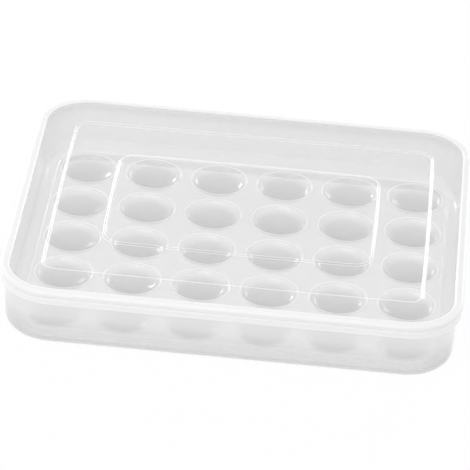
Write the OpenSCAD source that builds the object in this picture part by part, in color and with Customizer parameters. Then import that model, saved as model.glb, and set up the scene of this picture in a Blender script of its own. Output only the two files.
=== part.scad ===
// Egg storage box: a shallow clear tub with thirty egg seats moulded in its floor, and a lift-off lid.
// Origin at the middle of the foot ring, +X along the long side, +Z up.

/* [Egg seats] */
// Seats along the long side
columns = 6; // [2:1:8]
// Seats along the short side
rows = 5; // [2:1:7]
// Distance between the middles of neighbouring seats
pitch = 50; // [47:0.5:60]
// Radius of a seat where its lip meets the plateau
seat_r = 21.6; // [19:0.2:22.6]
// Depth of a seat below the plateau
seat_depth = 6.6; // [6.4:0.1:6.8]
// Radius of the bend that carries a seat's side into its dished bottom
seat_bend = 10; // [9:0.2:10.6]
// Height of that bend's middle above the plateau
seat_bend_rise = 5.2; // [4.6:0.1:5.6]

/* [Tub] */
// Thickness of the tub's sheet
tub_wall = 1.4; // [1:0.1:1.8]
// Height of the plateau that the seats hang from
plateau_h = 8.2; // [8.2:0.1:14]
// Width of the plateau outside the outermost seats
plateau_margin = 3.2; // [2.8:0.1:8]
// Radius of the bend at the lip of a seat and at the plateau's edge
lip_bend = 2; // [1.9:0.1:2.4]
// Width of the foot channel between plateau and wall
channel_w = 8.6; // [8.4:0.1:16]
// Inside radius of the bend between channel and plateau
channel_bend = 1.2; // [0.8:0.1:1.8]
// Inside radius of the bend between channel and wall
foot_bend = 6.2; // [3:0.1:6.6]
// Height of the tub's top edge
tub_h = 45.8; // [40:0.2:80]
// Slope of the tub's wall in degrees
draft = 2.5; // [1:0.1:4]
// Distance from the tub's top edge down to the top of its flange
flange_drop = 3.6; // [3.4:0.1:6]
// Height of the flange's turned-down lip
flange_h = 5.6; // [3:0.1:8]
// Reach of the flange past the foot of the wall's inner face
flange_reach = 5.8; // [5.4:0.1:6.2]
// Radius of the snap ridge that runs round the top of the wall
ridge_r = 0.6; // [0.4:0.05:0.8]

/* [Lid] */
// Thickness of the lid's sheet
lid_wall = 1.2; // [0.9:0.1:1.5]
// Reach of the lid's skirt past the flange's lip
lid_overhang = 0.6; // [0.3:0.1:1.5]
// Gap between the skirt's lower edge and the flange
skirt_gap = 0.8; // [0.4:0.1:1.6]
// Width of the raised bead round the lid's edge
bead_w = 6.8; // [6.2:0.1:9]
// Height of the bead above the panel
bead_h = 1.4; // [0.8:0.1:2.4]
// Radius of the bead's outer edge
bead_r = 2; // [1.6:0.1:2.6]
// Radius of the bead's inner edge
bead_inner_r = 0.9; // [0.4:0.1:1.2]
// Depth of the sunken band in the panel
band_depth = 1; // [0.5:0.1:1.1]
// Distance from the lid's short edges to the band's outer line
band_inset_short = 30.2; // [22:0.2:40]
// Distance from the lid's long edges to the band's outer line
band_inset_long = 35.4; // [22:0.2:40]
// Width of the band along the long sides
band_w_long = 41.9; // [30:0.1:60]
// Width of the band along the short sides
band_w_short = 38.1; // [30:0.1:60]
// Corner radius of the band's outer line
band_r_out = 8; // [4:1:14]
// Corner radius of the band's inner line
band_r_in = 12; // [6:1:18]
// How far the middles of the band's sides bow outwards
band_bow = 1; // [0.6:0.2:4]

/* [Hidden] */
$fn = 96;
seat_fn = 72;
// Overshoot of a cutting shape past the face that it cuts
over = 1;
// Places of the seats
seats_x = (columns - 1) * pitch / 2;
seats_y = (rows - 1) * pitch / 2;
// The wall's inner foot line runs round the middles of the corner seats at this radius
line_r = seat_r + plateau_margin + channel_w;
// Distances from that line, outwards
edge_x = -channel_w;
slab_x = edge_x - (plateau_margin + lip_bend) / 2;
wall_x = tub_wall / cos(draft);
flange_z = tub_h - flange_drop;
lid_x = flange_reach + lid_overhang;
// Heights of the lid
lid_top = tub_h + lid_wall;
panel_z = lid_top - bead_h;
skirt_z = flange_z + skirt_gap;
bead_x = lid_x - bead_w;
panel_x = bead_x - over;

// Middle of the bend between channel and wall, which touches the floor and the sloping wall
foot_z = tub_wall + foot_bend;
foot_x = foot_z * tan(draft) - foot_bend / cos(draft);

// The seat's section: a lip bend, a side bend and a dished bottom that touch one another
seat_floor = plateau_h - seat_depth;
side_z = plateau_h + seat_bend_rise;
side_x = seat_r - sqrt(pow(seat_bend + lip_bend, 2) - pow(seat_bend_rise + lip_bend, 2));
side_h = side_z - seat_floor;
dish_r = (side_h * side_h + side_x * side_x - seat_bend * seat_bend) / (2 * (side_h - seat_bend));
// Directions, in degrees, of the points where one bend passes into the next
dish_turn = -atan2(dish_r - side_h, side_x);
side_turn = -asin((seat_bend_rise + lip_bend) / (seat_bend + lip_bend));

// Piece of a flat ring between two directions less than 180 degrees apart: one bend of a sheet
module bend(r_in, sheet, from, to) {
    reach = 4 * (r_in + sheet);
    middle = (from + to) / 2;
    intersection() {
        difference() {
            circle(r = r_in + sheet);
            if (r_in > 0) circle(r = r_in);
        }
        polygon([
            [0, 0],
            [reach * cos(from), reach * sin(from)],
            [reach * cos(middle), reach * sin(middle)],
            [reach * cos(to), reach * sin(to)]
        ]);
    }
}

// Carries a section round the rounded rectangle of the foot line; x in the section points outwards
module carry_round() {
    for (side = [0, 1], x_way = [-1, 1]) {
        y_way = side == 0 ? x_way : -x_way;
        turn = side == 0 ? (x_way > 0 ? 0 : 180) : (x_way > 0 ? 270 : 90);
        translate([x_way * seats_x, y_way * seats_y, 0])
            rotate([0, 0, turn])
                rotate_extrude(angle = 90)
                    translate([line_r, 0])
                        children();
    }
    for (way = [0, 180]) {
        rotate([0, 0, way])
            translate([seats_x + line_r, seats_y, 0])
                rotate([90, 0, 0])
                    linear_extrude(height = 2 * seats_y)
                        children();
        rotate([0, 0, way + 90])
            translate([seats_y + line_r, seats_x, 0])
                rotate([90, 0, 0])
                    linear_extrude(height = 2 * seats_x)
                        children();
    }
}

// Flat rounded rectangle at a distance outside the foot line
module plan(out) {
    r = line_r + out;
    square([2 * (seats_x + r), 2 * seats_y], center = true);
    square([2 * seats_x, 2 * (seats_y + r)], center = true);
    for (x = [-seats_x, seats_x], y = [-seats_y, seats_y])
        translate([x, y])
            circle(r = r);
}

// The tub's edge in section: plateau edge, foot channel, sloping wall, flange and snap ridge
module tub_section() {
    slope = tan(draft);
    translate([slab_x, plateau_h - tub_wall])
        square([edge_x - lip_bend - slab_x, tub_wall]);
    translate([edge_x - lip_bend, plateau_h - lip_bend])
        bend(lip_bend - tub_wall, tub_wall, 0, 90);
    translate([edge_x - tub_wall, tub_wall + channel_bend])
        square([tub_wall, plateau_h - lip_bend - tub_wall - channel_bend]);
    translate([edge_x + channel_bend, tub_wall + channel_bend])
        bend(channel_bend, tub_wall, 180, 270);
    translate([edge_x + channel_bend, 0])
        square([foot_x - edge_x - channel_bend, tub_wall]);
    translate([foot_x, foot_z])
        bend(foot_bend, tub_wall, -90, -draft);
    wall_from = foot_z - foot_bend * sin(draft);
    polygon([
        [wall_from * slope, wall_from],
        [wall_from * slope + tub_wall * cos(draft), wall_from - tub_wall * sin(draft)],
        [tub_h * slope + wall_x, tub_h],
        [tub_h * slope, tub_h]
    ]);
    flange_section();
    translate([flange_z * slope + wall_x, (flange_z + tub_h) / 2])
        circle(r = ridge_r, $fn = 32);
}

// The flange: a shelf out of the wall with its lip turned down
module flange_section() {
    root = (flange_z - tub_wall) * tan(draft) + wall_x / 2;
    lip_x = flange_reach - tub_wall;
    round_r = tub_wall * 0.9;
    difference() {
        union() {
            translate([root, flange_z - tub_wall])
                square([flange_reach - root, tub_wall]);
            translate([lip_x, flange_z - flange_h])
                square([tub_wall, flange_h]);
        }
        translate([flange_reach - round_r, flange_z - round_r])
            difference() {
                square(over + round_r);
                circle(r = round_r, $fn = 32);
            }
    }
}

// One egg seat, a dished bowl that hangs from the plateau
module seat() {
    rotate_extrude($fn = seat_fn) {
        translate([0, seat_floor + dish_r])
            bend(dish_r, tub_wall, -90, dish_turn, $fn = 360);
        translate([side_x, side_z])
            bend(seat_bend, tub_wall, dish_turn, side_turn);
        translate([seat_r, plateau_h - lip_bend])
            bend(lip_bend - tub_wall, tub_wall, 90, 180 + side_turn);
    }
}

// Runs its child at every seat
module at_seats() {
    for (i = [0 : columns - 1], j = [0 : rows - 1])
        translate([i * pitch - seats_x, j * pitch - seats_y, 0])
            children();
}

module tub() {
    color([0.86, 0.88, 0.88]) {
        carry_round()
            tub_section();
        translate([0, 0, plateau_h - tub_wall])
            linear_extrude(height = tub_wall)
                difference() {
                    plan(slab_x);
                    at_seats()
                        circle(r = seat_r, $fn = seat_fn);
                }
        at_seats()
            seat();
    }
}

// The lid's edge in section: panel rim, raised bead and skirt with its snap ridge
module lid_section() {
    inner_x = lid_x - lid_wall;
    difference() {
        translate([panel_x, skirt_z])
            square([lid_x - panel_x, lid_top - skirt_z]);
        translate([lid_x - bead_r, lid_top - bead_r])
            difference() {
                square(over + bead_r);
                circle(r = bead_r, $fn = 48);
            }
        translate([panel_x - over, panel_z])
            square([bead_x - panel_x + over, bead_h + over]);
        translate([bead_x + bead_inner_r, lid_top - bead_inner_r])
            mirror([1, 0])
                difference() {
                    square(over + bead_inner_r);
                    circle(r = bead_inner_r, $fn = 32);
                }
        translate([bead_x + lid_wall, skirt_z - over])
            square([inner_x - bead_x - lid_wall, tub_h - skirt_z + over]);
        translate([panel_x - over, skirt_z - over])
            square([bead_x + lid_wall - panel_x + 2 * over, panel_z - lid_wall - skirt_z + over]);
    }
    translate([inner_x, skirt_z + ridge_r])
        circle(r = ridge_r * 0.8, $fn = 32);
}

// Points of one bowed line of the band: four bowed sides joined by round corners
function bowed(half_x, half_y, r) = [
    for (k = [0 : 3], s = [0 : 12])
        let (
            turn = 90 * k + 90 * s / 12,
            corner_x = (k == 0 || k == 3 ? 1 : -1) * (half_x - r),
            corner_y = (k < 2 ? 1 : -1) * (half_y - r),
            x = corner_x + r * cos(turn),
            y = corner_y + r * sin(turn)
        )
        [x, y]
];

// Adds the bow: every point moves outwards by a share that falls off as a parabola towards the corners
function bow_out(points, half_x, half_y) = [
    for (p = points)
        [
            p[0] + band_bow * (1 - pow(p[1] / half_y, 2)) * p[0] / half_x,
            p[1] + band_bow * (1 - pow(p[0] / half_x, 2)) * p[1] / half_y
        ]
];

// Splits every long side of an outline so that its bow shows as a curve
function split_sides(points, steps = 16) = [
    for (i = [0 : len(points) - 1])
        let (a = points[i], b = points[(i + 1) % len(points)])
        for (s = [0 : (norm(b - a) > 20 ? steps - 1 : 0)])
            a + (b - a) * s / steps
];

module band_line(half_x, half_y, r) {
    polygon(bow_out(split_sides(bowed(half_x, half_y, r)), half_x, half_y));
}

module lid() {
    out_x = seats_x + line_r + lid_x - band_inset_short;
    out_y = seats_y + line_r + lid_x - band_inset_long;
    in_x = out_x - band_w_short;
    in_y = out_y - band_w_long;
    color([0.9, 0.92, 0.92]) {
        carry_round()
            lid_section();
        difference() {
            union() {
                translate([0, 0, panel_z - lid_wall])
                    linear_extrude(height = lid_wall)
                        plan(panel_x);
                translate([0, 0, panel_z - band_depth - lid_wall])
                    linear_extrude(height = band_depth + lid_wall)
                        difference() {
                            band_line(out_x + lid_wall, out_y + lid_wall, band_r_out + lid_wall);
                            band_line(in_x - lid_wall, in_y - lid_wall, band_r_in - lid_wall);
                        }
            }
            translate([0, 0, panel_z - band_depth])
                linear_extrude(height = band_depth + over)
                    difference() {
                        band_line(out_x, out_y, band_r_out);
                        band_line(in_x, in_y, band_r_in);
                    }
        }
    }
}

tub();
lid();
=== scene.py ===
import bmesh
import bpy
import numpy as np
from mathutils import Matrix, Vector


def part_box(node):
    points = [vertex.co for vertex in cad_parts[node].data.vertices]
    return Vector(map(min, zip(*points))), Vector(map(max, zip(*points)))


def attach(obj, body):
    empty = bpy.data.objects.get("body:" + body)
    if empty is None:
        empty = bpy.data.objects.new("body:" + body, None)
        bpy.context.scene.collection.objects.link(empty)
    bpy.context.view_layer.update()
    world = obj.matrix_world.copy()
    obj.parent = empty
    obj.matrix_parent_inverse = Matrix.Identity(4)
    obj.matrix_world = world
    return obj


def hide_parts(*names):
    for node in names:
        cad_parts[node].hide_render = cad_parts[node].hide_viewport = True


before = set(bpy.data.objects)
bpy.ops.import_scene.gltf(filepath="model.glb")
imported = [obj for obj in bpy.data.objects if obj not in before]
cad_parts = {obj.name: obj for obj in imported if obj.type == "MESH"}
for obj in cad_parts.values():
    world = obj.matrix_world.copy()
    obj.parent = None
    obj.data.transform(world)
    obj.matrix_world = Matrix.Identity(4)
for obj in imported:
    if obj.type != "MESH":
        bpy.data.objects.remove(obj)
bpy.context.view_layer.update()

# View settings: the plain Standard transform, with nothing graded afterwards.
bpy.context.scene.view_settings.view_transform = "Standard"


# Table top and surroundings: a plain white surface under a plain white room.
# Both show white to the camera and through clear plastic, and light the box at a plain level.
TABLE_REACH, TABLE_DROP = 6.0, 0.0004
TABLE_COLOR = (0.94, 0.94, 0.94, 1.0)
TABLE_WHITE_SHARE = 0.97
ROOM_LIGHT = 0.67


def seen_directly(tree):
    """The greatest of three flags of the light path: one where the ray comes from the camera, a reflection
    or a clear body, and zero for scattered light."""
    path = tree.nodes.new("ShaderNodeLightPath")
    first = tree.nodes.new("ShaderNodeMath")
    first.operation = "MAXIMUM"
    second = tree.nodes.new("ShaderNodeMath")
    second.operation = "MAXIMUM"
    tree.links.new(path.outputs["Is Camera Ray"], first.inputs[0])
    tree.links.new(path.outputs["Is Glossy Ray"], first.inputs[1])
    tree.links.new(first.outputs[0], second.inputs[0])
    tree.links.new(path.outputs["Is Transmission Ray"], second.inputs[1])
    return second.outputs[0]


def make_table():
    """A flat square just under height zero, mostly white light where it is seen, with the box's shadow."""
    corners = np.array([(-1, -1, 0), (1, -1, 0), (1, 1, 0), (-1, 1, 0)], float) * TABLE_REACH
    mesh = bpy.data.meshes.new("table")
    mesh.from_pydata(corners.tolist(), [], [(0, 1, 2, 3)])
    table = bpy.data.objects.new("table", mesh)
    table.location = (0, 0, -TABLE_DROP)
    bpy.context.scene.collection.objects.link(table)
    material = bpy.data.materials.new("white_table")
    material.use_nodes = True
    tree = material.node_tree
    tree.nodes.clear()
    out = tree.nodes.new("ShaderNodeOutputMaterial")
    matt = tree.nodes.new("ShaderNodeBsdfDiffuse")
    matt.inputs["Color"].default_value = TABLE_COLOR
    white = tree.nodes.new("ShaderNodeEmission")
    share = tree.nodes.new("ShaderNodeMath")
    share.operation = "MULTIPLY"
    share.inputs[1].default_value = TABLE_WHITE_SHARE
    mix = tree.nodes.new("ShaderNodeMixShader")
    tree.links.new(seen_directly(tree), share.inputs[0])
    tree.links.new(share.outputs[0], mix.inputs["Fac"])
    tree.links.new(matt.outputs[0], mix.inputs[1])
    tree.links.new(white.outputs[0], mix.inputs[2])
    tree.links.new(mix.outputs[0], out.inputs["Surface"])
    mesh.materials.append(material)


def make_surroundings():
    """A world that is white where it is seen, and a plain grey light for everything else."""
    world = bpy.data.worlds.new("white_room")
    bpy.context.scene.world = world
    world.use_nodes = True
    tree = world.node_tree
    tree.nodes.clear()
    out = tree.nodes.new("ShaderNodeOutputWorld")
    room = tree.nodes.new("ShaderNodeBackground")
    room.inputs["Color"].default_value = (1, 1, 1, 1)
    room.inputs["Strength"].default_value = ROOM_LIGHT
    white = tree.nodes.new("ShaderNodeBackground")
    white.inputs["Color"].default_value = (1, 1, 1, 1)
    mix = tree.nodes.new("ShaderNodeMixShader")
    tree.links.new(seen_directly(tree), mix.inputs["Fac"])
    tree.links.new(room.outputs[0], mix.inputs[1])
    tree.links.new(white.outputs[0], mix.inputs[2])
    tree.links.new(mix.outputs[0], out.inputs["Surface"])


make_table()
make_surroundings()


# Camera: fitted to the seats, step lines, rim and foot in the photograph, which is a long-lens view.
# It looks down from the front with a slight roll, and has no shift and no depth of field.
camera_data = bpy.data.cameras.new("camera")
camera_data.sensor_width = 36.0
camera_data.lens = 265.2
camera_data.clip_end = 50.0
camera = bpy.data.objects.new("camera", camera_data)
camera.location = (0.10681, -2.16134, 1.36000)
camera.rotation_euler = np.radians((58.220, -3.229, 4.959)).tolist()
bpy.context.scene.collection.objects.link(camera)
bpy.context.scene.camera = camera


# Lamps: a large soft box overhead in front, and two smaller ones low behind, on the left and on the right.
# The first lights the rim and the steps that face the camera.
# The others draw the side steps and the seats' lips.
def soft_box(name, place, size, power):
    """A rectangular lamp at a place, turned so that its face looks at the middle of the table."""
    data = bpy.data.lights.new(name, "AREA")
    data.shape = "RECTANGLE"
    data.size, data.size_y = size
    data.energy = power
    lamp = bpy.data.objects.new(name, data)
    away = np.array(place) / np.linalg.norm(place)
    across = np.cross((0, 0, 1), away)
    across /= np.linalg.norm(across)
    matrix = np.eye(4)
    matrix[:3] = np.stack([across, np.cross(away, across), away, place], 1)
    lamp.matrix_world = matrix.T.tolist()
    lamp.visible_camera = False
    bpy.context.scene.collection.objects.link(lamp)


soft_box("overhead_box", (-0.35, -0.75, 1.3), (1.1, 0.8), 6.5)
soft_box("left_box", (-0.72, 1.33, 0.5), (0.34, 0.24), 6.5)
soft_box("right_box", (0.66, 1.36, 0.5), (0.4, 0.24), 4.0)


# Tub: one injection moulding in milky polypropylene, with thirty egg seats hanging from a raised plateau.
# Its edge is one section carried round: plateau edge, foot channel, sloping wall, flange and top edge.
COLUMNS, ROWS, PITCH = 6, 5, 0.050
SEATS_X, SEATS_Y = (COLUMNS - 1) * PITCH / 2, (ROWS - 1) * PITCH / 2
SEAT_R, SEAT_DEPTH, SEAT_BEND, SEAT_BEND_RISE = 0.0216, 0.0066, 0.010, 0.0052
LIP_BEND, TUB_WALL, PLATEAU_H = 0.002, 0.0014, 0.0082
PLATEAU_MARGIN, CHANNEL_W, CHANNEL_BEND, FOOT_BEND = 0.0032, 0.0086, 0.0012, 0.0062
DRAFT = np.radians(2.5)
SLOPE = np.tan(DRAFT)
TUB_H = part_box("tub")[1].z
FLANGE_DROP, FLANGE_H, FLANGE_REACH = 0.0036, 0.0056, 0.0058
FLANGE_TOP = TUB_H - FLANGE_DROP
FLANGE_BEND, DOWNTURN_BEND, SMALL_BEND, SHARP_BEND = 0.00126, 0.0005, 0.0004, 0.0003
RIDGE_R = 0.0006
LINE_R = SEAT_R + PLATEAU_MARGIN + CHANNEL_W
SLAB_X = -CHANNEL_W - (PLATEAU_MARGIN + LIP_BEND) / 2

# Steps of the tub's mesh: a quarter of a seat's border has CORNER_STEPS, and so has a corner's turn.
# Corners are taken from the right back one, and a side ends at its corner mirrored along x or along y.
SIDE_STEPS = 6
CORNER_STEPS = 2 * SIDE_STEPS
ARC_STEPS = 4
FIELD_SHARES = (0.15, 0.55, 1.0)
CORNER_SIGNS = ((1, 1), (-1, 1), (-1, -1), (1, -1))
SIDE_MIRRORS = ((-1, 1), (1, -1))
SAME_POINT, NO_LENGTH = 2e-6, 1e-9

# Greys of the tub: the painted shading runs from -1, deepest painted shade, through 0, plain plastic, to 1,
# brightest painted highlight, and milk is how far the opacity goes up to full.
# A corner's painted shading fades out over the first length below, or a third of the line where that is
# shorter.
PAINTED_SHADING_FADE, LONGEST_FADE = 0.0006, 1 / 3
# Painted highlights on the convex bends of the plateau edge, top edge, flange and downturn; painted shade in
# the flange's root.
EDGE_HIGHLIGHT, ROOT_SHADE, FLANGE_HIGHLIGHT, DOWNTURN_HIGHLIGHT = 0.3, -0.4, 0.6, 0.8
# Painted shade along the foot bend and on the wall's outer face under the flange.
FOOT_SHADE, WALL_SHADE = -0.85, -0.5
# Painted highlight on the flange, which is also milkier.
TUB_RIM_HIGHLIGHT, TUB_RIM_MILK, TUB_RIM_FADE = 0.4, 0.35, 0.001
# Extra opacity where the painted highlights lie, at the tub's edges and at the seats' lips, so that they
# show.
EDGE_HIGHLIGHT_MILK, SEAT_HIGHLIGHT_MILK = 0.25, 0.4
# Painted shade in the seat's dish and side bend, and a painted highlight on its lip.
DISH_SHADE = (-1.0, -1.0, -1.0, -0.95)
SEAT_SIDE_SHADE = (-0.85, -0.65, -0.45, -0.25, -0.1)
LIP_HIGHLIGHTS = (0.0, 0.2, 0.5, 0.8, 0.9, 0.9)

# Gloss and grain that both plastics share.
PLASTIC_IOR = 1.49
PLAIN_GLOSS, COAT_GLOSS, COAT_ROUGH = 0.5, 0.4, 0.04
ROUGH_SPREAD, MOTTLE_DETAIL = 0.25, 3.0
GRAIN_SCALE, GRAIN_STRENGTH, GRAIN_DEPTH = 900.0, 0.01, 0.0002


def rounded(corners, fade=PAINTED_SHADING_FADE):
    """Section through corners (x, z, radius, painted shading) as rows of x, z and painted shading, which is
    a painted highlight above zero and painted shade below it. Each corner is an arc that touches its lines
    at radius / tan(half the corner's angle) from it. Its painted shading fades out past both ends."""
    rows = [(*corners[0][:2], 0.0)]
    for before, here, after in zip(corners[:-2], corners[1:-1], corners[2:]):
        radius, painted_shading = here[2:]
        corner = np.array(here[:2])
        back = np.array(before[:2]) - corner
        on = np.array(after[:2]) - corner
        back, on = back / np.linalg.norm(back), on / np.linalg.norm(on)
        half = np.arccos(np.clip(back @ on, -1, 1)) / 2
        middle = corner + (back + on) / np.linalg.norm(back + on) * radius / np.sin(half)
        start = corner + back * radius / np.tan(half)
        end = corner + on * radius / np.tan(half)
        way = start - rows[-1][:2]
        near = min(fade / max(np.linalg.norm(way), NO_LENGTH), LONGEST_FADE)
        rows.append((*(rows[-1][:2] + way * near), 0.0))
        rows.append((*(start - way * near), 0.0))
        first, last = start - middle, end - middle
        turn = np.arctan2(first[0] * last[1] - first[1] * last[0], first @ last)
        angle = np.arctan2(first[1], first[0]) + np.linspace(0, turn, ARC_STEPS + 1)
        arc = middle + radius * np.stack([np.cos(angle), np.sin(angle)], 1)
        rows.extend((x, z, painted_shading) for x, z in arc)
    rows.append((*corners[-1][:2], 0.0))
    return np.array(rows)


def between(count):
    """Shares of a way at a number of even places between its ends."""
    return np.linspace(0, 1, count + 2)[1:-1]


def corner_turns(quarter):
    """Outward directions at a corner: the cosine and sine of even steps through its quarter turn."""
    turn = np.radians(90 * quarter) + np.linspace(0, np.pi / 2, CORNER_STEPS + 1)
    return np.stack([np.cos(turn), np.sin(turn)], 1)


def side_shares(quarter):
    """Shares of the way along the straight side after a corner, in CORNER_STEPS to each seat's pitch."""
    pitches = (COLUMNS, ROWS)[quarter % 2] - 1
    return between(CORNER_STEPS * pitches - 1)[:, None]


def edge_path():
    """Corner-seat middles and outward directions round the tub, through each corner and the side after it.
    A point at a distance d outside the foot line is middle + direction * (line radius + d)."""
    middles, directions = [], []
    for quarter, signs in enumerate(CORNER_SIGNS):
        here = np.array(signs) * (SEATS_X, SEATS_Y)
        way = here * SIDE_MIRRORS[quarter % 2] - here
        turns, shares = corner_turns(quarter), side_shares(quarter)
        middles.extend([np.tile(here, (len(turns), 1)), here + way * shares])
        directions.extend([turns, np.tile(turns[-1], (len(shares), 1))])
    return np.concatenate(middles), np.concatenate(directions)


def carried(section):
    """The section carried round the tub: each point goes out from the path by its distance from the foot
    line, and keeps its height, painted shading and milk."""
    middles, directions = edge_path()
    plan = middles[None] + directions[None] * (LINE_R + section[:, 0])[:, None, None]
    return np.dstack([plan, np.broadcast_to(section[:, None, 1:], plan.shape[:2] + (3,))])


def grid_faces(rows, columns):
    """Four-cornered faces of a grid that is stored row by row, its last column joined to its first."""
    i, j = np.meshgrid(np.arange(rows - 1), np.arange(columns), indexing="ij")
    here, right = i * columns + j, i * columns + (j + 1) % columns
    return np.stack([here, right, right + columns, here + columns], -1).reshape(-1, 4)


def build_piece(name, grids, body, replaced):
    """Puts closed grids of x, y, z, painted shading and milk into one mesh, joins the points that they
    share, and lets the piece stand for its CAD node."""
    points, faces, count = [], [], 0
    for grid in grids:
        rows, columns = grid.shape[:2]
        faces.append(grid_faces(rows, columns) + count)
        points.append(grid.reshape(-1, 5))
        count += rows * columns
    points = np.concatenate(points)
    mesh = bpy.data.meshes.new(name)
    mesh.from_pydata(points[:, :3].tolist(), [], np.concatenate(faces).tolist())
    # The painted light and shade goes into the mesh as a point attribute, beside the milk.
    mesh.attributes.new("painted_shading", "FLOAT", "POINT").data.foreach_set("value", points[:, 3])
    mesh.attributes.new("milk", "FLOAT", "POINT").data.foreach_set("value", points[:, 4])
    work = bmesh.new()
    work.from_mesh(mesh)
    bmesh.ops.remove_doubles(work, verts=work.verts, dist=SAME_POINT)
    bmesh.ops.recalc_face_normals(work, faces=work.faces)
    work.to_mesh(mesh)
    work.free()
    mesh.polygons.foreach_set("use_smooth", np.ones(len(mesh.polygons), bool))
    piece = bpy.data.objects.new(name, mesh)
    bpy.context.scene.collection.objects.link(piece)
    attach(piece, body)
    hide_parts(replaced)
    return piece


def tub_section():
    """The tub's edge in section: from the plateau's top through the foot channel, up the wall, over its top
    edge, ridge and flange, and back down and in under the plateau. The flange carries a painted highlight
    and is milkier, both fading out over TUB_RIM_FADE below it. Painted highlights lie on the bends of the
    plateau edge, the top edge, the flange and its downturn, and painted shade lies in the flange's root, on
    the foot bend and on the wall's outer face under the flange."""
    edge = -CHANNEL_W
    wall = TUB_WALL / np.cos(DRAFT)
    ridge_z = (FLANGE_TOP + TUB_H) / 2
    low = FLANGE_TOP - FLANGE_H
    lip = FLANGE_REACH - TUB_WALL
    under = FLANGE_TOP - TUB_WALL
    section = rounded([
        (SLAB_X, PLATEAU_H, 0, 0),
        (edge, PLATEAU_H, LIP_BEND, EDGE_HIGHLIGHT),
        (edge, TUB_WALL, CHANNEL_BEND, 0),
        (TUB_WALL * SLOPE, TUB_WALL, FOOT_BEND, 0),
        (TUB_H * SLOPE, TUB_H, SMALL_BEND, EDGE_HIGHLIGHT),
        (TUB_H * SLOPE + wall, TUB_H, SMALL_BEND, EDGE_HIGHLIGHT),
        (ridge_z * SLOPE + wall, ridge_z + 2 * RIDGE_R, SHARP_BEND, 0),
        (ridge_z * SLOPE + wall + RIDGE_R, ridge_z, SMALL_BEND, 0),
        (ridge_z * SLOPE + wall, ridge_z - 2 * RIDGE_R, SHARP_BEND, 0),
        (FLANGE_TOP * SLOPE + wall, FLANGE_TOP, SHARP_BEND, ROOT_SHADE),
        (FLANGE_REACH, FLANGE_TOP, FLANGE_BEND, FLANGE_HIGHLIGHT),
        (FLANGE_REACH, low, DOWNTURN_BEND, DOWNTURN_HIGHLIGHT),
        (lip, low, DOWNTURN_BEND, 0),
        (lip, under, DOWNTURN_BEND, 0),
        (under * SLOPE + wall, under, SHARP_BEND, 0),
        (wall, 0, FOOT_BEND + TUB_WALL, FOOT_SHADE),
        (edge - TUB_WALL, 0, CHANNEL_BEND + TUB_WALL, 0),
        (edge - TUB_WALL, PLATEAU_H - TUB_WALL, LIP_BEND - TUB_WALL, 0),
        (SLAB_X, PLATEAU_H - TUB_WALL, 0, 0),
    ])
    x, z, painted_shading = section.T
    # The flange's painted highlight, fading out below it.
    rim = np.clip((z - low + TUB_RIM_FADE) / TUB_RIM_FADE, 0, 1) * (x > wall)
    painted_shading = np.maximum(painted_shading, TUB_RIM_HIGHLIGHT * rim)
    # Painted shade on the wall's outer face under the flange.
    outer = (np.arange(len(z)) > np.argmax(z)) & (x > 0) & (rim == 0)
    painted_shading[outer] = np.minimum(painted_shading[outer], WALL_SHADE)
    # Milkier at the flange, and where the painted highlights lie so that they show.
    milk = TUB_RIM_MILK * rim + EDGE_HIGHLIGHT_MILK * np.clip(painted_shading, 0, 1)
    return np.column_stack([x, z, painted_shading, milk])


def seat_sections():
    """Radius, height, painted shading and milk along a seat's upper and lower faces: dish, side bend and lip
    bend.
    The dish is level at the seat's middle and touches the side bend from outside, so its radius is
    (height squared + reach squared - bend squared) / (2 * (height - bend)), where height and reach are
    those of the side bend's centre from the dish's lowest point.
    The dish and side bend carry painted shade, deepest in the dish, and the crest of the lip a painted
    highlight."""
    floor = PLATEAU_H - SEAT_DEPTH
    side_z = PLATEAU_H + SEAT_BEND_RISE
    rise = SEAT_BEND_RISE + LIP_BEND
    side_x = SEAT_R - np.sqrt((SEAT_BEND + LIP_BEND) ** 2 - rise**2)
    side_h = side_z - floor
    dish_r = (side_h**2 + side_x**2 - SEAT_BEND**2) / (2 * (side_h - SEAT_BEND))
    dish_turn = -np.arctan2(dish_r - side_h, side_x)
    side_turn = -np.arcsin(rise / (SEAT_BEND + LIP_BEND))
    dish_turns = np.linspace(-np.pi / 2, dish_turn, len(DISH_SHADE) + 1)[:-1]
    side_turns = np.linspace(dish_turn, side_turn, len(SEAT_SIDE_SHADE) + 1)[:-1]
    lip_turns = np.linspace(np.pi + side_turn, np.pi / 2, len(LIP_HIGHLIGHTS))
    parts = (
        ((0, floor + dish_r), dish_r, TUB_WALL, dish_turns),
        ((side_x, side_z), SEAT_BEND, TUB_WALL, side_turns),
        ((SEAT_R, PLATEAU_H - LIP_BEND), LIP_BEND, -TUB_WALL, lip_turns),
    )
    # Painted shade in the dish and side bend, painted highlight on the lip, which is made milkier so that it
    # shows.
    painted_shading = np.array(DISH_SHADE + SEAT_SIDE_SHADE + LIP_HIGHLIGHTS)
    milk = SEAT_HIGHLIGHT_MILK * np.clip(painted_shading, 0, 1)
    faces = []
    for under in (0, 1):
        curve = [
            np.array(middle) + (r + under * extra) * np.stack([np.cos(turn), np.sin(turn)], 1)
            for middle, r, extra, turn in parts
        ]
        faces.append(np.column_stack([np.concatenate(curve), painted_shading, milk]))
    return faces


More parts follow.
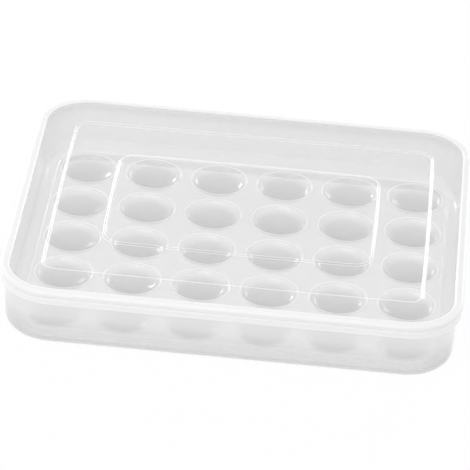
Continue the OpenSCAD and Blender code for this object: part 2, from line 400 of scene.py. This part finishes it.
def seat_border(column, row):
    """Border of the plateau's field round one seat, quarter by quarter: even steps along the two half sides
    that meet at its corner, or an arc at the tub's corners."""
    outer = LINE_R + SLAB_X
    half = PITCH / 2
    x_reach = {1: outer if column == COLUMNS - 1 else half, -1: outer if column == 0 else half}
    y_reach = {1: outer if row == ROWS - 1 else half, -1: outer if row == 0 else half}
    share = np.linspace(0, 1, SIDE_STEPS + 1)[:-1]
    border = []
    for quarter, (x, y) in enumerate(CORNER_SIGNS):
        if x_reach[x] == outer and y_reach[y] == outer:
            border.append(outer * corner_turns(quarter)[:-1])
            continue
        to_x, to_y = x * x_reach[x], y * y_reach[y]
        level_x, level_y = np.full(SIDE_STEPS, to_x), np.full(SIDE_STEPS, to_y)
        if quarter % 2 == 0:
            border.append(np.stack([level_x, to_y * share], 1))
            border.append(np.stack([to_x * (1 - share), level_y], 1))
        else:
            border.append(np.stack([to_x * share, level_y], 1))
            border.append(np.stack([level_x, to_y * (1 - share)], 1))
    return np.concatenate(border)


def seat_grids():
    """Every seat's upper and lower faces, spread from its middle over its lip to the border of its field.
    Past the lip the rings stand at FIELD_SHARES of the way from the lip's circle to the border."""
    upper, lower = seat_sections()
    fields = np.array(FIELD_SHARES)[:, None, None]
    grids = []
    for column in range(COLUMNS):
        for row in range(ROWS):
            border = seat_border(column, row)
            direction = border / np.linalg.norm(border, axis=1)[:, None]
            middle = np.array([column * PITCH - SEATS_X, row * PITCH - SEATS_Y])
            for section in (upper, lower):
                rings = direction[None] * section[:, 0, None, None]
                flat = direction[None] * SEAT_R * (1 - fields) + border[None] * fields
                plan = np.concatenate([rings, flat]) + middle
                level = np.tile([section[-1, 1], 0, 0], (len(fields), 1))
                rest = np.concatenate([section[:, 1:], level])[:, None]
                grids.append(np.dstack([plan, np.broadcast_to(rest, plan.shape[:2] + (3,))]))
    return grids


def clear_plastic(name, shade_plain_highlight_greys, milk, slant_power, rough, mottle_size, painted_glow, coat):
    """Milky plastic: opacity goes from milk, face on, to one at the outline, by a power of the slant.
    The piece's milk attribute adds to it, and its painted shading attribute picks the grey among painted
    shade, plain plastic and painted highlight.
    A faint painted glow, an emission in the painted greys, stands in for the light that scatters inside the
    plastic, and coat gives it a glossy skin.
    The roughness follows coarse soft noise, and the skin has a fine grain."""
    material = bpy.data.materials.new(name)
    material.use_nodes = True
    tree = material.node_tree
    skin = tree.nodes["Principled BSDF"]
    skin.inputs["IOR"].default_value = PLASTIC_IOR
    skin.inputs["Specular IOR Level"].default_value = PLAIN_GLOSS + COAT_GLOSS * coat
    skin.inputs["Coat Weight"].default_value = coat
    skin.inputs["Coat Roughness"].default_value = COAT_ROUGH
    # Painted glow: the plastic gives off light of its own, though it is no lamp.
    skin.inputs["Emission Strength"].default_value = painted_glow

    slant = tree.nodes.new("ShaderNodeLayerWeight")
    slant.inputs["Blend"].default_value = 0.5
    power = tree.nodes.new("ShaderNodeMath")
    power.operation = "POWER"
    power.inputs[1].default_value = slant_power
    dense = tree.nodes.new("ShaderNodeMapRange")
    dense.inputs["To Min"].default_value = milk
    thick = tree.nodes.new("ShaderNodeAttribute")
    thick.attribute_name = "milk"
    opacity = tree.nodes.new("ShaderNodeMix")
    opacity.inputs["B"].default_value = 1.0
    tree.links.new(slant.outputs["Facing"], power.inputs[0])
    tree.links.new(power.outputs[0], dense.inputs["Value"])
    tree.links.new(dense.outputs["Result"], opacity.inputs["A"])
    tree.links.new(thick.outputs["Fac"], opacity.inputs["Factor"])
    tree.links.new(opacity.outputs["Result"], skin.inputs["Alpha"])

    # Painted light and shade: the attribute picks the deep grey for painted shade and the light grey for
    # painted highlight.
    painted_shading = tree.nodes.new("ShaderNodeAttribute")
    painted_shading.attribute_name = "painted_shading"
    share = tree.nodes.new("ShaderNodeMapRange")
    share.inputs["From Min"].default_value = -1.0
    ramp = tree.nodes.new("ShaderNodeValToRGB")
    ramp.color_ramp.elements.new(0.5)
    for element, place, grey in zip(ramp.color_ramp.elements, (0.0, 0.5, 1.0), shade_plain_highlight_greys):
        element.position = place
        element.color = (grey, grey, grey, 1.0)
    tree.links.new(painted_shading.outputs["Fac"], share.inputs["Value"])
    tree.links.new(share.outputs["Result"], ramp.inputs["Fac"])
    tree.links.new(ramp.outputs["Color"], skin.inputs["Base Color"])
    # The painted glow takes the painted greys, so it follows the painted shade and highlights.
    tree.links.new(ramp.outputs["Color"], skin.inputs["Emission Color"])

    place = tree.nodes.new("ShaderNodeTexCoord")
    coarse = tree.nodes.new("ShaderNodeTexNoise")
    coarse.inputs["Scale"].default_value = 1.0 / mottle_size
    coarse.inputs["Detail"].default_value = MOTTLE_DETAIL
    spread = tree.nodes.new("ShaderNodeMapRange")
    spread.inputs["To Min"].default_value = rough * (1 - ROUGH_SPREAD)
    spread.inputs["To Max"].default_value = rough * (1 + ROUGH_SPREAD)
    tree.links.new(place.outputs["Object"], coarse.inputs["Vector"])
    tree.links.new(coarse.outputs["Fac"], spread.inputs["Value"])
    tree.links.new(spread.outputs["Result"], skin.inputs["Roughness"])

    fine = tree.nodes.new("ShaderNodeTexNoise")
    fine.inputs["Scale"].default_value = GRAIN_SCALE
    bump = tree.nodes.new("ShaderNodeBump")
    bump.inputs["Strength"].default_value = GRAIN_STRENGTH
    bump.inputs["Distance"].default_value = GRAIN_DEPTH
    tree.links.new(place.outputs["Object"], fine.inputs["Vector"])
    tree.links.new(fine.outputs["Fac"], bump.inputs["Height"])
    tree.links.new(bump.outputs["Normal"], skin.inputs["Normal"])
    return material


tub = build_piece("tub_moulding", [carried(tub_section())] + seat_grids(), "tub_body", "tub")
# Greys of painted shade, plain plastic and painted highlight.
tub.data.materials.append(clear_plastic(
    "milky_polypropylene", shade_plain_highlight_greys=(0.25, 0.8, 1.0), milk=0.26, slant_power=2.2,
    rough=0.22, mottle_size=0.03, painted_glow=0.15, coat=1.0,
))


# Lid: one thin injection moulding in clearer polypropylene, a panel with a sunken band between two bowed
# lines. A raised bead runs round it, its skirt reaches down over the tub's top edge, and it lies there by
# its weight.
LID_WALL, LID_OVERHANG = 0.0012, 0.0006
BEAD_W, BEAD_H, BEAD_LEAN, BEAD_R, BEAD_INNER_R = 0.0068, 0.0014, 0.0001, 0.002, 0.0009
SKIRT_BEND, TOP_INNER_BEND, PANEL_OVERLAP = 0.0002, 0.0007, 0.001
LID_RIDGE_R = 0.8 * RIDGE_R
LID_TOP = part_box("lid")[1].z
SKIRT_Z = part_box("lid")[0].z
PANEL_Z = LID_TOP - BEAD_H
LID_X = FLANGE_REACH + LID_OVERHANG
BEAD_X = LID_X - BEAD_W
PANEL_X = BEAD_X - PANEL_OVERLAP

# The band, as half lengths of its outer and inner rectangle, and its steps.
BAND_DEPTH, BAND_BOW = 0.001, 0.001
BAND_INSET_X, BAND_INSET_Y, BAND_W_X, BAND_W_Y = 0.0302, 0.0354, 0.0381, 0.0419
BAND_OUT_X = SEATS_X + LINE_R + LID_X - BAND_INSET_X
BAND_OUT_Y = SEATS_Y + LINE_R + LID_X - BAND_INSET_Y
BAND_IN_X, BAND_IN_Y = BAND_OUT_X - BAND_W_X, BAND_OUT_Y - BAND_W_Y
BAND_R_OUT, BAND_R_IN = 0.008, 0.012
STEP_HALF, STEP_BEND = 0.0008, 0.0009
PAD_RINGS, BAND_RINGS, MARGIN_RINGS = 10, 6, 3

# Greys of the lid: the steps carry the brightest painted highlight, and the rim's painted highlight starts a
# little inside the bead.
STEP_HIGHLIGHT, STEP_FADE, STEP_HIGHLIGHT_MILK = 1.0, 0.0002, 0.35
LID_BEND_HIGHLIGHT, LID_RIM_HIGHLIGHT, LID_RIM_MILK = 0.8, 0.5, 0.6
LID_RIM_START, LID_RIM_FADE = 0.0003, 0.0008


def bowed_ring(half_x, half_y, r, bow):
    """Points round a rounded rectangle whose sides bow outwards by a parabola that ends at its corners.
    With x and y as shares of the half lengths, a point moves by bow * (1 - y squared) * x along x, and
    by bow * (1 - x squared) * y along y."""
    ring = []
    for quarter, (x, y) in enumerate(CORNER_SIGNS):
        arc = np.array([x * (half_x - r), y * (half_y - r)]) + r * corner_turns(quarter)
        far = arc[-1] * SIDE_MIRRORS[quarter % 2]
        ring.extend([arc, arc[-1] + (far - arc[-1]) * side_shares(quarter)])
    ring = np.concatenate(ring)
    share_x, share_y = ring[:, 0] / half_x, ring[:, 1] / half_y
    bows = np.stack([(1 - share_y**2) * share_x, (1 - share_x**2) * share_y], 1)
    return ring + bow * bows


def panel_rings(level, wall):
    """One face of the panel as rings from its middle to the bead: centre pad, step down, band, step up and
    margin. wall is zero on the upper face. On the lower face it is the sheet's thickness, and the band is
    wider by that much at both steps. On the upper face alone the steps are milkier and carry a painted
    highlight."""
    depth = level - BAND_DEPTH
    pad = np.array([BAND_IN_X - wall, BAND_IN_Y - wall, BAND_R_IN - wall, BAND_BOW])
    far = np.array([BAND_OUT_X + wall, BAND_OUT_Y + wall, BAND_R_OUT + wall, BAND_BOW])
    edge = np.array([SEATS_X + LINE_R + PANEL_X, SEATS_Y + LINE_R + PANEL_X, LINE_R + PANEL_X, 0])
    # Painted highlight on the upper face's steps.
    light = STEP_HIGHLIGHT if wall == 0 else 0.0
    corners = [
        (-2 * STEP_HALF, 0, 0, 0),
        (-STEP_HALF, 0, STEP_BEND, light),
        (STEP_HALF, -BAND_DEPTH, STEP_BEND, light),
        (2 * STEP_HALF, -BAND_DEPTH, 0, 0),
    ]
    step = rounded(corners, STEP_FADE)
    rings = [(pad * share, level, 0) for share in between(PAD_RINGS)]
    rings += [(pad + (out, out, out, 0), level + drop, painted_shading) for out, drop, painted_shading in step]
    rings += [(pad + (far - pad) * share, depth, 0) for share in between(BAND_RINGS)]
    rings += [(far - (out, out, out, 0), level + drop, painted_shading) for out, drop, painted_shading in step[::-1]]
    rings += [(far + (edge - far) * share, level, 0) for share in between(MARGIN_RINGS)]
    grid = []
    for shape, height, painted_shading in rings:
        ring = bowed_ring(*shape)
        # The steps with a painted highlight are made milkier so that it shows.
        rest = np.tile([height, painted_shading, STEP_HIGHLIGHT_MILK * (painted_shading > 0)], (len(ring), 1))
        grid.append(np.column_stack([ring, rest]))
    middle = np.tile([0, 0, level, 0, 0], (len(ring), 1))
    return np.stack([middle] + grid)


def lid_section():
    """The lid's edge in section, from the panel's upper face over bead and skirt to its lower face.
    The bead and the skirt are the thicker, milkier part of the moulding, and carry a painted highlight on
    their outer bends and over the rim from a little inside the bead."""
    inner = LID_X - LID_WALL
    ridge_z = SKIRT_Z + RIDGE_R
    # The bead's and skirt's outer bends carry a painted highlight.
    section = rounded([
        (PANEL_X, PANEL_Z, 0, 0),
        (BEAD_X, PANEL_Z, SMALL_BEND, 0),
        (BEAD_X + BEAD_LEAN, LID_TOP, BEAD_INNER_R, LID_BEND_HIGHLIGHT),
        (LID_X, LID_TOP, BEAD_R, LID_BEND_HIGHLIGHT),
        (LID_X, SKIRT_Z, SMALL_BEND, LID_BEND_HIGHLIGHT),
        (inner, SKIRT_Z, SKIRT_BEND, 0),
        (inner - LID_RIDGE_R, ridge_z, SMALL_BEND, 0),
        (inner, ridge_z + 2 * RIDGE_R, SHARP_BEND, 0),
        (inner, TUB_H, TOP_INNER_BEND, 0),
        (BEAD_X + LID_WALL, TUB_H, SHARP_BEND, 0),
        (BEAD_X + LID_WALL, PANEL_Z - LID_WALL, SMALL_BEND, 0),
        (PANEL_X, PANEL_Z - LID_WALL, 0, 0),
    ])
    x, z, painted_shading = section.T
    # Painted highlight on the rim, from a little inside the bead's inner edge, with more milk there.
    rim = np.clip((x - BEAD_X + LID_RIM_START) / LID_RIM_FADE, 0, 1)
    painted_shading = np.maximum(painted_shading, LID_RIM_HIGHLIGHT * rim)
    return np.column_stack([x, z, painted_shading, LID_RIM_MILK * rim])


lid_grid = np.concatenate([
    panel_rings(PANEL_Z, 0.0),
    carried(lid_section()),
    panel_rings(PANEL_Z - LID_WALL, LID_WALL)[::-1],
])
lid = build_piece("lid_moulding", [lid_grid], "lid_body", "lid")
# Greys of painted shade, plain plastic and painted highlight.
lid.data.materials.append(clear_plastic(
    "clear_polypropylene", shade_plain_highlight_greys=(0.4, 0.68, 0.97), milk=0.12, slant_power=3.0,
    rough=0.16, mottle_size=0.05, painted_glow=0.16, coat=0.0,
))
